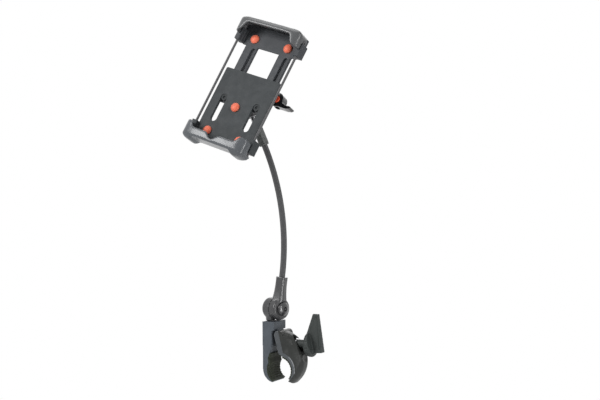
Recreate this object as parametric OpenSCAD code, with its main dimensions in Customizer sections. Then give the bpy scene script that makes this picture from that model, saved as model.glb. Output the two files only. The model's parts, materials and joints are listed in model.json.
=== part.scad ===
// Phone holder arm: a screw clamp grips a pole, a friction knuckle and a curved neck
// stand on it, and a ball head carries a sprung cradle for a phone.
// Origin: centre of the gripped pole. +X runs along the clamp screw to its knob,
// +Y along the pole and +Z up.

/* [Clamp jaws] */
// Radius of the pole that the jaws close on
grip_r = 14.5; // [13:0.5:16]
// Length of the jaws along the pole
jaw_depth = 30; // [26:1:36]
// Thickness of the ribbed pads
pad_t = 1.7; // [1.4:0.1:2.4]
// Wall of the fixed jaw behind its pad
jaw_wall = 5.3; // [4:0.1:7]
// Spacing of the ribs on the pads, in degrees round the pole
rib_step = 11.4; // [8:0.2:16]
// Thickness of the column above the fixed jaw
column_t = 12.3; // [11.8:0.1:13]
// Height of the top of the clamp above the pole
block_top = 55; // [54:0.5:60]
// Height of the block at the top of the clamp
block_h = 10; // [8:0.5:11]
// Width of the block at the top of the clamp
block_w = 15.3; // [14:0.1:16]

/* [Jaw hinge and screw] */
// Distance of the hinge pin from the pole along the screw
hinge_x = -2; // [-2.4:0.1:-1.6]
// Height of the hinge pin above the pole
hinge_z = 40; // [39.6:0.1:40.4]
// Diameter of the hinge pin
hinge_pin_d = 4; // [3:0.5:5]
// Width of the fixed jaw's hinge lug
hinge_lug_w = 13; // [9:0.5:15]
// Height of the clamp screw above the pole
screw_z = 30.3; // [29.8:0.1:30.8]
// Diameter of the clamp screw
screw_d = 6; // [5:0.5:6]
// Diameter of the washer under the knob
washer_d = 12; // [10:0.5:14]
// Thickness of the washer under the knob
washer_t = 1.2; // [0.8:0.1:1.6]
// Distance of the washer's seat on the moving jaw from the pole
seat_x = 15.2; // [14.5:0.1:16]

/* [Knob] */
// Length of the knob's neck
knob_neck_l = 11.6; // [10:0.2:14]
// Diameter of the knob's neck
knob_neck_d = 9; // [8:0.5:10]
// Diameter of the knob's hub
knob_hub_d = 29; // [24:0.5:32]
// Length of the knob's hub
knob_hub_l = 9; // [7:0.5:11]
// Height of the knob's wing above the screw
wing_h = 34.9; // [28:0.5:42]
// Width of the wing at its foot
wing_foot = 12.6; // [9:0.2:15]

/* [Knuckle] */
// Diameter of the swivel neck under the knuckle
swivel_d = 17.6; // [16:0.2:19]
// Diameter of the two knuckle drums
knuckle_d = 25.5; // [24:0.5:28]
// Height of the knuckle axis above the clamp
knuckle_rise = 14.5; // [14.3:0.1:16]
// Compass direction of the knuckle axis
knuckle_az = -18.3; // [-40:1:10]
// Length of the base drum beyond the swivel axis
base_drum_l = 9.5; // [9:0.5:12]
// Width of the arm's drum
arm_drum_w = 9.9; // [9:0.1:12]
// Diameter of the knuckle bolt
knuckle_bolt_d = 6; // [5:0.5:8]
// Diameter of the knuckle bolt's head
bolt_head_d = 16; // [12:0.5:16]

/* [Neck] */
// Compass direction of the plane that the neck curves in
neck_az = 26.7; // [15:1:35]
// Lean of the lower sleeve
lean_low = 6.8; // [2:0.2:10]
// Lean of the upper sleeve, the other way
lean_top = 22; // [18:0.5:26]
// Length of bare neck between the sleeves
neck_len = 156; // [120:1:200]
// Diameter of the neck
neck_d = 7; // [5:0.5:8]
// Length of the lower sleeve above the knuckle axis
low_sleeve_l = 37.2; // [32:0.5:50]
// Diameter of the lower sleeve at its mouth
low_sleeve_d = 14; // [12:0.2:14.4]
// Length of the upper sleeve
top_sleeve_l = 28; // [22:0.5:34]
// Diameter of the upper sleeve
top_sleeve_d = 11.5; // [11:0.5:13]
// Depth that the neck goes into each sleeve
neck_seat = 14; // [10:0.5:18]

/* [Ball head] */
// Diameter of the ball
ball_d = 15; // [14:0.5:16]
// Distance of the ball from the mouth of the upper sleeve
ball_reach = 42.5; // [41:0.5:50]
// Outer diameter of the ball socket
socket_d = 24; // [23:0.5:26]
// Tilt of the cradle backwards
cradle_tilt = 19.74; // [10:0.5:30]
// Turn of the cradle in its own plane
cradle_turn = 18.9; // [10:0.5:25]
// Distance of the ball behind the front of the cradle plate
ball_back = 26.6; // [26:0.2:30]
// Height of the ball above the middle bumper
ball_up = 8; // [6:0.5:10]
// Diameter of the hub cover
hub_d = 28; // [27:0.5:29]
// Distance from the ball to the lever's bolt
lever_up = 23; // [22:0.5:26]
// Distance of the lever's pivot from the middle of the socket
lever_out = 26.8; // [25:0.2:30]
// Diameter of the lever's eye
lever_eye_d = 17; // [15:0.5:18]
// Reach of the lever beyond its pivot
lever_reach = 22; // [18:0.5:28]

/* [Cradle] */
// Width of the cradle plate
plate_w = 79.6; // [78:0.2:84]
// Height of the plate's top edge above the middle bumper
plate_top = 43.3; // [40:0.5:48]
// Depth of the plate's bottom edge below the middle bumper
plate_bottom = 49.7; // [48:0.5:54]
// Thickness of the cradle plate
plate_t = 3.6; // [3:0.1:3.8]
// Distance of each slot from the middle
slot_u = 23.9; // [22.5:0.1:24.5]
// Width of the slots
slot_w = 8.7; // [8:0.1:10]
// Height of the slots' top ends above the middle bumper
slot_top = 11.9; // [11:0.5:13]
// Travel of the sliding frame
slide_travel = 27; // [22:0.5:27]
// Distance of the sliding frame behind the front of the plate
frame_back = 4.2; // [4.1:0.1:4.6]
// Thickness of the sliding frame
frame_t = 3.5; // [3:0.1:3.6]
// Width of each leg of the sliding frame
leg_w = 17.3; // [16:0.1:17.5]
// Depth of the cross bar's lower edge below the top of the upper holder
bar_drop = 29.7; // [26:0.1:34]
// Height of the top of the upper holder above the middle bumper
top_reach = 106.8; // [100:0.5:114]
// Width of the lower holder
low_holder_w = 90.4; // [89.6:0.2:96]
// Width of the upper holder
top_holder_w = 90; // [89:0.5:98]
// Reach of the lower holder in front of the plate
holder_reach = 20; // [17:0.5:24]
// Reach of the upper holder in front of the plate
hood_reach = 17.5; // [15:0.5:22]
// Thickness of the holders' walls
holder_wall = 3; // [2.4:0.1:3.4]
// Diameter of the bumpers
bumper_d = 11; // [9:0.5:12]
// Height of the bumpers
bumper_h = 4; // [3:0.5:5]
// Diameter of the elastic cords
elastic_d = 3; // [2:0.5:3.5]

/* [Hidden] */
$fn = 72;

// Radial clearance of a pin or shaft that turns in its bore
run_gap = 0.05;
// Clearance between moving pieces that do not bear on each other
free_gap = 0.3;
// Overshoot of a cut past the surface that it opens
eps = 1;

// Jaw profile angles, measured round the pole
fixed_pad_from = 150;
fixed_pad_to = 237;
moving_pad_from = -38;
moving_pad_to = 77;
seat_r = grip_r + pad_t;
column_back = -(seat_r + jaw_wall) - 1;
column_front = column_back + column_t;
block_front = column_back + block_w;
block_bottom = block_top - block_h;
// The column's swivel bore stands over the middle of the block
swivel_x = column_back + block_w / 2;
// Thickness of the fixed jaw's tip behind the pad
tip_wall = 1.2;
// Clearance of a pad in its seat
pad_fit = 0.06;
// Groove between two ribs of a pad
rib_groove_r = 0.45;
// Lip of the fixed pad, above the pole: its face from the arc to the column
pad_lip = [[-13.3, 12.9], [-11, 18.1]] * (grip_r / 14.5);

// Moving jaw: crest circle and eye
crest_c = [-7, 11];
crest_r = 33.7;
crest_from = -53;
crest_to = 80;
eye_r = 5.2;
// Wall of the fixed jaw's lug round the hinge pin
lug_wall = 1.7;
// Near end of the hinge pin, inside the near cheek
pin_near = -12;
// Half angle of the jaw's swing that the screw slot leaves room for
swing_room = 13;
// Ends of the jaw's swing, closing and opening
swing_low = -10.5;
swing_high = 12.5;
// Tube that rounds the jaw's back: its radius, and two points on its axis
back_r = jaw_depth / 2 + 0.4;
back_from = [0, 38];
back_to = [19, -3];
back_lean = atan2(back_to[0] - back_from[0], back_from[1] - back_to[1]);
ring_major = 9;
ring_minor = crest_r + 0.3 - ring_major;
// Round seat of the washer on the moving jaw
seat_round_r = 7;

// Clamp screw, nut and knob
nut_d = 10;
nut_l = 20;
nut_x = column_back + 6.2;
screw_tip = nut_x - 2.2;
screw_bore_end = screw_tip - 2.4;
washer_x = seat_x + free_gap;
washer_room = washer_d / 2 + 0.8;
knob_x = washer_x + washer_t;
hub_x = knob_x + knob_neck_l;
hub_end = hub_x + knob_hub_l;
screw_end = hub_x + 5.5;
wing_top = screw_z + wing_h;
wing_top_w = 7.2;
wing_x = hub_end - 1.1;
// Rounding of the hub's front rim, which clears the swinging jaw
rim_r = 4.5;
// Height of the cone between the knob's neck and its hub
hub_cone = 1;
knob_flutes = 12;
flute_r = 1.7;

// Swivel and knuckle, in the knuckle's own frame: x along its axis
stud_d = 8;
stud_groove_z = block_top - 5.5;
stud_groove_r = stud_d / 2 - 1;
lock_pin_d = 2.5;
lock_pin_x = swivel_x + stud_groove_r + lock_pin_d / 2 + 0.1;
stud_low = block_bottom - 3.4;
stud_high = block_top + 7.5;
swivel_gap = 0.3;
knuckle_z = block_top + knuckle_rise;
drum_face = 3.5;
washer_thick = 0.5;
arm_face = drum_face + washer_thick + 0.1;
arm_end = arm_face + arm_drum_w;
head_gap = 0.4;
head_h = 5;
knuckle_nut_af = 10;
knuckle_nut_h = 5;
drum_round = 5;
arm_round = 2.2;

// Neck: the lower sleeve's foot on the knuckle axis, and the frames of both sleeves
foot = [arm_face + 4.0, -0.9];
sleeve_foot = [
    swivel_x + foot[0] * cos(knuckle_az) - foot[1] * sin(knuckle_az),
    foot[0] * sin(knuckle_az) + foot[1] * cos(knuckle_az),
    knuckle_z
];
bend_angle = lean_low + lean_top;
bend_r = neck_len * 180 / (PI * bend_angle);
function lean_dir(lean) = [cos(neck_az) * sin(lean), sin(neck_az) * sin(lean), cos(lean)];
function side_dir(lean) = [cos(neck_az) * cos(lean), sin(neck_az) * cos(lean), -sin(lean)];
low_mouth = sleeve_foot + low_sleeve_l * lean_dir(lean_low);
bend_c = low_mouth - bend_r * side_dir(lean_low);
top_mouth = bend_c + bend_r * side_dir(-lean_top);
ball_c = top_mouth + ball_reach * lean_dir(-lean_top);
neck_bore_r = neck_d / 2 + 0.1;
// The neck's core, bare of its cover inside the sleeves
tail_d = neck_d - 0.4;
sleeve_flutes = 10;
stud_neck_d = 7;
flange_r = hub_d / 2 - 3;

// Ball head, in the cradle's frame: x across, y back from the plate's front, z up
ball_r = ball_d / 2;
socket_r = socket_d / 2;
stem_r = 8;
hub_wall = 2.5;
hub_flange_t = 2.5;
hub_flange_y = plate_t + free_gap;
hub_cover_y = hub_flange_y + hub_flange_t + free_gap;
hub_screw_r = hub_d / 2 - 1.35;
slit_w = 1;
clamp_lug = [-8, 10];
lever_back = 3.4;
lever_y = ball_back + lever_back;
lever_z = ball_up + lever_up;
lever_bolt_r = 2.5;
lug_r = 6.5;
lever_eye_r = lever_eye_d / 2;
lever_w = 11;
lever_slot = 5.6;
lever_pin_r = 1.5;
cap_d = 8;
cap_h = 1.7;
saddle_r = 6;
// Angle from the socket's stem to the edge of its mouth
mouth_half = 55;

// Cradle
frame_front = frame_back;
frame_rear = frame_back + frame_t;
leg_in = slot_u - leg_w / 2 + 0.5;
leg_out = leg_in + leg_w;
boss_r = slot_w / 2 - 0.35;
// Gap between a guide boss and the end of its slot
slot_end_gap = 0.15;
boss_z = slot_top - boss_r - slot_end_gap;
slot_bottom = slide_travel - boss_z + boss_r + slot_end_gap;
leg_low = boss_z - 5.5;
rail_t = 2;
rail_gap = 0.4;
rail_low = boss_z - 4;
bar_low = top_reach - bar_drop;
bar_top = top_reach - holder_wall - 0.7;
groove_w = 5.5;
groove_t = 2.6;
groove_shift = 4.05;
low_floor = plate_bottom + 0.1;
low_bottom = low_floor + 6.3;
low_recess = 4.3;
recess_u = 30;
ear_top = 33.4;
lip_top = 41.2;
lip_dip = 47.8;
dip_u = 10.5;
ear_u = 35;
lip_low = 9.3;
flap_low = 20.4;
flap_u = 33;
lug_w = 6.6;
lug_in = plate_w / 2;
lug_y = [-5, 7.5];
low_lug_z = [-45, -29.5];
top_lug_z = [bar_low + 0.9, bar_low + 16.9];
elastic_u = lug_in + lug_w / 2;
elastic_y = -1.6;
knot_r = elastic_d / 2 + 1;
corner_r = 7;
// Rounding of the holders' corners seen from above
plan_r = 9;
edge_flange = 5.3;
bumper_mid = [-2.2, 0];
bumper_low = [23.5, -36];
bumper_top = [24.3, bar_low + 8.9];
bumper_stem_r = 2.5;

// Points on an arc about c from angle a to angle b
function arc(c, r, a, b, n = 16) =
    [for (i = [0:n]) c + r * [cos(a + (b - a) * i / n), sin(a + (b - a) * i / n)]];

// A profile drawn in x and z, given a depth along y
module xz(depth, y = 0) {
    translate([0, y, 0])
        rotate([90, 0, 0])
            linear_extrude(height = depth, center = true) children();
}

// A cylinder along x from one place to another
module rod_x(r, x0, x1, y = 0, z = 0) {
    translate([x0, y, z])
        rotate([0, 90, 0])
            cylinder(r = r, h = x1 - x0);
}

// A cylinder along y from one place to another
module rod_y(r, y0, y1, x = 0, z = 0) {
    translate([x, y0, z])
        rotate([-90, 0, 0])
            cylinder(r = r, h = y1 - y0);
}

// A block from one corner to the other
module block(low, high) {
    translate(low) cube(high - low);
}

// A rounded rectangle between two corners
module rounded(low, high, r) {
    translate([low[0] + r, low[1]]) square([high[0] - low[0] - 2 * r, high[1] - low[1]]);
    translate([low[0], low[1] + r]) square([high[0] - low[0], high[1] - low[1] - 2 * r]);
    for (x = [low[0] + r, high[0] - r])
        for (z = [low[1] + r, high[1] - r])
            translate([x, z]) circle(r = r);
}

// Both sides of the cradle, from the right one
module both_sides() {
    children();
    mirror([1, 0, 0]) children();
}

// Frames
module at_knuckle() {
    translate([swivel_x, 0, knuckle_z]) rotate([0, 0, knuckle_az]) children();
}
module at_low_mouth() {
    translate(low_mouth) rotate([0, 0, neck_az]) rotate([0, lean_low, 0]) children();
}
module at_top_mouth() {
    translate(top_mouth) rotate([0, 0, neck_az]) rotate([0, -lean_top, 0]) children();
}
module at_cradle() {
    translate(ball_c)
        rotate([-cradle_tilt, 0, 0])
            rotate([0, cradle_turn, 0])
                translate([0, -ball_back, -ball_up]) children();
}

// Clamp
// Ring of pad between the pole and the jaw's seat
module pad_ring(from, to) {
    difference() {
        intersection() {
            circle(r = seat_r - pad_fit);
            polygon(concat([[0, 0]], arc([0, 0], 2 * seat_r, from, to, 6)));
        }
        circle(r = grip_r);
    }
}

module fixed_pad_profile() {
    end = [cos(fixed_pad_from), sin(fixed_pad_from)];
    inside = [cos(fixed_pad_from + 3), sin(fixed_pad_from + 3)];
    pad_ring(fixed_pad_from, fixed_pad_to);
    polygon(concat(
        [grip_r * end],
        pad_lip,
        [
            [pad_lip[1][0] - pad_t + pad_fit, pad_lip[1][1] + pad_t / 2],
            [pad_lip[0][0] - pad_t + pad_fit, pad_lip[0][1]],
            (seat_r - pad_fit) * end,
            (grip_r + seat_r) / 2 * inside
        ]
    ));
}

module pad_grooves(from, to) {
    for (a = [from:rib_step:to])
        rotate([0, -a, 0]) rod_y(rib_groove_r, -jaw_depth / 2 - eps, jaw_depth / 2 + eps, grip_r, 0);
}

module fixed_jaw_pad() {
    color([0.16, 0.17, 0.13])
        difference() {
            xz(jaw_depth) fixed_pad_profile();
            pad_grooves(fixed_pad_from + rib_step / 2, fixed_pad_to - rib_step / 3);
        }
}

// Outer face of the fixed jaw: a radius that thins from the wall to the tip
function hook_r(t) = seat_r + jaw_wall - (jaw_wall - tip_wall) * pow(t, 1.6);
function hook_arc(n = 14) =
    [for (i = [0:n]) let (a = 180 + (fixed_pad_to - 180) * i / n)
        hook_r(i / n) * [cos(a), sin(a)]];

module fixed_jaw_profile() {
    difference() {
        polygon(concat(
            [[block_front, block_top], [column_back, block_top]],
            hook_arc(),
            [
                seat_r * [cos(fixed_pad_to), sin(fixed_pad_to)],
                (grip_r - 2) * [cos(200), sin(200)],
                seat_r * [cos(fixed_pad_from), sin(fixed_pad_from)],
                [pad_lip[0][0] - pad_t, pad_lip[0][1]],
                [pad_lip[1][0] - pad_t, pad_lip[1][1] + pad_t / 2],
                [column_front, 26.6],
                [column_front, block_bottom],
                [block_front, block_bottom]
            ]
        ));
        circle(r = seat_r);
    }
}

module hinge_lug() {
    lug_r = hinge_pin_d / 2 + lug_wall;
    xz(hinge_lug_w) {
        translate([hinge_x, hinge_z]) circle(r = lug_r);
        polygon([
            [column_front - eps, hinge_z - lug_r],
            [hinge_x, hinge_z - lug_r],
            [hinge_x, hinge_z + lug_r],
            [block_front, block_bottom + eps],
            [column_front - eps, block_bottom + eps]
        ]);
    }
}

module fixed_jaw() {
    color([0.19, 0.21, 0.25])
        difference() {
            union() {
                xz(jaw_depth) fixed_jaw_profile();
                hinge_lug();
            }
            rod_y(hinge_pin_d / 2 + run_gap, -jaw_depth / 2, jaw_depth / 2, hinge_x, hinge_z);
            rod_y(nut_d / 2 + run_gap, -nut_l / 2, jaw_depth, nut_x, screw_z);
            rod_x(screw_d / 2 + 0.4, screw_bore_end, 0, 0, screw_z);
            translate([swivel_x, 0, stud_low - 0.5])
                cylinder(r = stud_d / 2 + run_gap, h = block_top);
            rod_y(lock_pin_d / 2 + run_gap, -jaw_depth / 3, jaw_depth, lock_pin_x, stud_groove_z);
        }
}

module hinge_pin() {
    color([0.45, 0.46, 0.48])
        rod_y(hinge_pin_d / 2, pin_near, jaw_depth / 2 - 0.6, hinge_x, hinge_z);
}

module barrel_nut() {
    color([0.55, 0.55, 0.56])
        difference() {
            rod_y(nut_d / 2, -nut_l / 2 + 0.2, nut_l / 2, nut_x, screw_z);
            rod_x(screw_d / 2 + run_gap, nut_x - nut_d, nut_x + nut_d, 0, screw_z);
        }
}

module swivel_lock_pin() {
    color([0.45, 0.46, 0.48])
        rod_y(lock_pin_d / 2, -jaw_depth / 3 + 0.2, jaw_depth / 3, lock_pin_x, stud_groove_z);
}

module moving_jaw_profile() {
    tip = seat_r * [cos(-48), sin(-48)];
    difference() {
        union() {
            polygon(concat(
                arc(crest_c, crest_r, crest_from, crest_to, 36),
                [
                    [hinge_x, hinge_z],
                    [hinge_x - eye_r + 0.15, hinge_z - 1.2],
                    [hinge_x - 2.4, hinge_z - 10],
                    [hinge_x + 0.4, seat_r + 3.4],
                    (seat_r + 0.1) * [cos(moving_pad_to + 3), sin(moving_pad_to + 3)],
                    (grip_r - 1) * [cos(moving_pad_to), sin(moving_pad_to)],
                    (grip_r - 1) * [cos(-40), sin(-40)],
                    tip
                ]
            ));
            translate([hinge_x, hinge_z]) circle(r = eye_r);
        }
        circle(r = seat_r);
    }
}

// Tube that rounds the back of the jaw, with a block on its inner side
module jaw_back() {
    translate([back_from[0], 0, back_from[1]])
        rotate([0, -back_lean, 0]) {
            translate([0, 0, -80]) cylinder(r = back_r, h = 120);
            block([-60, -jaw_depth / 2, -80], [0, jaw_depth / 2, 40]);
        }
    rod_y(eye_r, -jaw_depth / 2, jaw_depth / 2, hinge_x, hinge_z);
}

module jaw_ring() {
    translate([crest_c[0], 0, crest_c[1]])
        rotate([90, 0, 0])
            rotate_extrude()
                intersection() {
                    translate([ring_major, 0]) circle(r = ring_minor);
                    translate([0, -ring_minor]) square([ring_major + ring_minor, 2 * ring_minor]);
                }
    rod_y(eye_r, -jaw_depth / 2, jaw_depth / 2, hinge_x, hinge_z);
}

// Slot that lets the screw stay level while the jaw swings
module screw_slot() {
    near = hinge_x - 6;
    far = seat_x + 12;
    rise = tan(swing_room);
    half = screw_d / 2 + 0.6;
    xz(screw_d + 1.2)
        polygon([
            [near, screw_z - half - 1.4], [far, screw_z - half - (far - hinge_x) * rise],
            [far, screw_z + half + (far - hinge_x) * rise], [near, screw_z + half + 1.4]
        ]);
}

// What stands still, as the swinging jaw sees it at an angle of its travel
module about_hinge(angle) {
    translate([hinge_x, 0, hinge_z])
        rotate([0, angle, 0])
            translate([-hinge_x, 0, -hinge_z]) children();
}

// What the knob's hub sweeps at an angle of the jaw's opening, with its feed
module hub_sweep(angle) {
    feed = (hinge_z - screw_z) * angle * PI / 180;
    about_hinge(angle)
        translate([feed, 0, screw_z])
            rotate([0, 90, 0])
                rotate_extrude()
                    polygon(concat(
                        [[0, hub_x - hub_cone - free_gap], [knob_neck_d / 2, hub_x - hub_cone - free_gap]],
                        arc([knob_hub_d / 2 - rim_r, hub_x + rim_r], rim_r + free_gap, -90, 0, 8),
                        [[knob_hub_d / 2 + free_gap, hub_end], [0, hub_end]]
                    ));
}

// Pocket for the fixed jaw's lug, open towards the column through the whole swing
module lug_pocket() {
    half_w = hinge_lug_w / 2 + free_gap;
    r = hinge_pin_d / 2 + lug_wall + free_gap;
    rod_y(r, -half_w, half_w, hinge_x, hinge_z);
    for (a = [swing_low, 0, swing_high])
        about_hinge(a) {
            block([hinge_x - 12, -half_w, hinge_z - r], [hinge_x, half_w, hinge_z + r]);
            xz(2 * half_w)
                polygon([
                    [hinge_x - 0.5, hinge_z + r], [hinge_x - 12, hinge_z + r],
                    [hinge_x - 12, hinge_z + 12], [block_front + 0.4, block_bottom + 1.4]
                ]);
        }
}

module moving_jaw() {
    color([0.15, 0.16, 0.15])
        difference() {
            intersection() {
                xz(jaw_depth) moving_jaw_profile();
                jaw_back();
                jaw_ring();
            }
            lug_pocket();
            for (a = [swing_high / 2, swing_high]) hub_sweep(a);
            rod_y(hinge_pin_d / 2 + run_gap, pin_near - 0.2, jaw_depth, hinge_x, hinge_z);
            screw_slot();
            // Pocket of the washer, down to its round seat
            difference() {
                for (a = [swing_low, -3, 4.8, swing_high])
                    about_hinge(a) rod_x(washer_room, seat_x - seat_round_r, seat_x + 30, 0, screw_z);
                rod_y(seat_round_r, -jaw_depth, jaw_depth, seat_x - seat_round_r, screw_z);
            }
        }
}

module moving_jaw_pad() {
    color([0.16, 0.17, 0.13])
        difference() {
            xz(jaw_depth - 1) pad_ring(moving_pad_from, moving_pad_to);
            pad_grooves(moving_pad_from + rib_step / 2, moving_pad_to - rib_step / 3);
        }
}

module knob_washer() {
    color([0.8, 0.8, 0.82])
        difference() {
            rod_x(washer_d / 2, washer_x, washer_x + washer_t, 0, screw_z);
            rod_x(screw_d / 2 + run_gap, washer_x - eps, washer_x + washer_t + eps, 0, screw_z);
        }
}

module clamp_screw() {
    color([0.6, 0.6, 0.62]) {
        rod_x(screw_d / 2, screw_tip, screw_end, 0, screw_z);
    }
}

module wing_profile() {
    polygon([
        [hub_x + 1, screw_z + 6], [hub_x + 0.8, screw_z + 12.6],
        [wing_x, wing_top], [wing_x + wing_top_w, wing_top],
        [wing_x + wing_foot, screw_z - 8.9], [wing_x + 5, screw_z - 9.4],
        [wing_x + 0.6, screw_z - 11.2], [hub_x + 5, screw_z - 12]
    ]);
}

module wing_recess() {
    polygon([
        [hub_x + 4.2, screw_z + 12.6], [wing_x + 1.9, wing_top - 3],
        [wing_x + wing_top_w - 2.2, wing_top - 3],
        [wing_x + wing_foot - 3, screw_z - 5.2], [wing_x + 1, screw_z - 5.2]
    ]);
}

// Thickness of the wing: thin at the top, thick at the hub
module wing_taper(trim) {
    foot_half = 4.6 - trim;
    top_half = 1.6 - trim;
    rotate([90, 0, 90])
        linear_extrude(height = 200)
            polygon([
                [-foot_half, screw_z - 15], [foot_half, screw_z - 15],
                [top_half, wing_top + eps], [-top_half, wing_top + eps]
            ]);
}

module wing_knob() {
    color([0.13, 0.14, 0.14])
        difference() {
            union() {
                difference() {
                    translate([0, 0, screw_z])
                        rotate([0, 90, 0])
                            rotate_extrude()
                                polygon(concat(
                                    [[0, knob_x], [knob_neck_d / 2, knob_x], [knob_neck_d / 2, hub_x - hub_cone]],
                                    arc([knob_hub_d / 2 - rim_r, hub_x + rim_r], rim_r, -90, 0, 8),
                                    arc([knob_hub_d / 2 - 2, hub_end - 2], 2, 0, 90, 8),
                                    [[0, hub_end]]
                                ));
                    for (i = [0:knob_flutes - 1])
                        translate([0, 0, screw_z])
                            rotate([(i + 0.5) * 360 / knob_flutes, 0, 0])
                                rod_x(flute_r, hub_x - eps, hub_end + eps, 0, knob_hub_d / 2 + flute_r / 2);
                }
                intersection() {
                    xz(40) wing_profile();
                    wing_taper(0);
                }
            }
            // Sunken faces of the wing
            difference() {
                xz(40) wing_recess();
                wing_taper(0.8);
            }
            rod_x(screw_d / 2 + 0.02, knob_x - eps, screw_end + 0.1, 0, screw_z);
        }
}

// Swivel and knuckle
module swivel_stud() {
    color([0.55, 0.55, 0.56])
        translate([swivel_x, 0, 0])
            difference() {
                translate([0, 0, stud_low]) cylinder(r = stud_d / 2, h = stud_high - stud_low);
                translate([0, 0, stud_groove_z - lock_pin_d / 2 - 0.1])
                    difference() {
                        cylinder(r = stud_d, h = lock_pin_d + 0.2);
                        translate([0, 0, -eps]) cylinder(r = stud_groove_r, h = lock_pin_d + 4 * eps);
                    }
            }
}

module drum_profile(l, r, round) {
    polygon(concat(
        [[0, 0], [r, 0]],
        arc([r - round, l - round], round, 0, 90, 12),
        [[0, l]]
    ));
}

module knuckle_base() {
    color([0.2, 0.2, 0.21])
        difference() {
            union() {
                translate([swivel_x, 0, block_top + swivel_gap])
                    cylinder(r = swivel_d / 2, h = knuckle_rise - knuckle_d / 2 - 0.65);
                at_knuckle() {
                    translate([drum_face, 0, 0])
                        rotate([0, -90, 0])
                            rotate_extrude() drum_profile(drum_face + base_drum_l, knuckle_d / 2, drum_round);
                    intersection() {
                        translate([0, 0, swivel_gap + 0.7 - knuckle_rise])
                            cylinder(r = base_drum_l, h = knuckle_rise - 2);
                        block([-30, -30, -30], [drum_face, 30, 0]);
                    }
                }
            }
            at_knuckle() {
                rod_x(knuckle_bolt_d / 2 + run_gap, -30, 30);
                rotate([0, 90, 0])
                    translate([0, 0, -base_drum_l - eps])
                        cylinder(r = (knuckle_nut_af / 2 + run_gap) / cos(30), h = knuckle_nut_h + eps, $fn = 6);
            }
            translate([swivel_x, 0, 0]) cylinder(r = stud_d / 2 + run_gap, h = stud_high + 0.1);
        }
}

module knuckle_washer() {
    color([0.7, 0.7, 0.68])
        at_knuckle()
            difference() {
                rod_x(knuckle_d / 2 - 2.5, drum_face, drum_face + washer_thick);
                rod_x(knuckle_bolt_d / 2 + run_gap, drum_face - eps, drum_face + washer_thick + eps);
            }
}

module knuckle_bolt() {
    color([0.15, 0.15, 0.16])
        at_knuckle()
            difference() {
                union() {
                    rod_x(knuckle_bolt_d / 2, 0.3 - base_drum_l, arm_end + head_gap + eps);
                    translate([arm_end + head_gap, 0, 0])
                        rotate([0, 90, 0])
                            rotate_extrude() drum_profile(head_h, bolt_head_d / 2, 1.6);
                }
                rotate([0, 90, 0])
                    translate([0, 0, arm_end + head_gap + head_h - 2.6])
                        cylinder(r = 2.9, h = 4, $fn = 6);
            }
}

module knuckle_nut() {
    color([0.6, 0.6, 0.62])
        at_knuckle()
            difference() {
                rotate([0, 90, 0])
                    translate([0, 0, 0.3 - base_drum_l])
                        cylinder(r = knuckle_nut_af / 2 / cos(30), h = knuckle_nut_h - 0.4, $fn = 6);
                rod_x(knuckle_bolt_d / 2 + 0.02, -30, 0);
            }
}

// Outline of the lower sleeve below its mouth: straight, then flared into the eye
function sleeve_r(t) = low_sleeve_d / 2 - 0.2 + 4.6 * pow(max(0, (t - 0.3) / 0.7), 2);

module lower_sleeve() {
    rotate_extrude()
        polygon(concat(
            [[0, 0], [low_sleeve_d / 2 - 0.4, 0], [low_sleeve_d / 2, -0.6]],
            [for (i = [1:14]) [sleeve_r(i / 14), -low_sleeve_l * i / 14]],
            [[0, -low_sleeve_l]]
        ));
}

module arm_knuckle() {
    clear_r = knuckle_d / 2 + 0.4;
    color([0.2, 0.2, 0.21])
        difference() {
            union() {
                at_knuckle()
                    translate([arm_face, 0, 0])
                        rotate([0, 90, 0])
                            rotate_extrude() drum_profile(arm_drum_w, knuckle_d / 2, arm_round);
                difference() {
                    at_low_mouth() {
                        difference() {
                            lower_sleeve();
                            for (i = [0:sleeve_flutes - 1])
                                rotate([0, 0, (i + 0.5) * 360 / sleeve_flutes])
                                    translate([low_sleeve_d / 2 + 0.55, 0, -low_sleeve_l])
                                        cylinder(r = 1.1, h = low_sleeve_l - 1.6);
                        }
                    }
                    at_knuckle() {
                        rod_x(clear_r, -30, arm_face);
                        rod_x(bolt_head_d / 2 + 0.6, arm_end, 40);
                        block([-30, -30, -30], [60, 30, 0]);
                    }
                }
            }
            at_knuckle() rod_x(knuckle_bolt_d / 2 + run_gap, -30, 60);
            at_low_mouth()
                translate([0, 0, -neck_seat]) cylinder(r = neck_bore_r, h = neck_seat + eps);
        }
}

module neck() {
    color([0.22, 0.22, 0.23]) {
        translate(bend_c)
            rotate([0, 0, neck_az])
                rotate([90, 0, 0])
                    rotate([0, 0, -lean_low])
                        rotate_extrude(angle = bend_angle, $fn = 360)
                            translate([bend_r, 0]) circle(d = neck_d, $fn = 32);
        at_low_mouth() translate([0, 0, 0.2 - neck_seat]) cylinder(d = tail_d, h = neck_seat + 0.3, $fn = 32);
        at_top_mouth() translate([0, 0, -0.5]) cylinder(d = tail_d, h = neck_seat + 0.3, $fn = 32);
    }
}

module upper_sleeve() {
    color([0.33, 0.34, 0.33])
        at_top_mouth()
            difference() {
                rotate_extrude()
                    polygon([
                        [0, 0], [top_sleeve_d / 2 - 0.4, 0], [top_sleeve_d / 2, 0.6],
                        [top_sleeve_d / 2, top_sleeve_l - 2.5], [stud_neck_d / 2 + 0.8, top_sleeve_l], [0, top_sleeve_l]
                    ]);
                for (i = [0:sleeve_flutes - 1])
                    rotate([0, 0, (i + 0.5) * 360 / sleeve_flutes])
                        translate([top_sleeve_d / 2 + 0.6, 0, 1.6])
                            cylinder(r = 1, h = top_sleeve_l - 5);
                translate([0, 0, -eps]) cylinder(r = neck_bore_r, h = neck_seat + eps);
                translate([0, 0, neck_seat + 2]) cylinder(r = stud_neck_d / 2 - 0.48, h = top_sleeve_l);
            }
}

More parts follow.
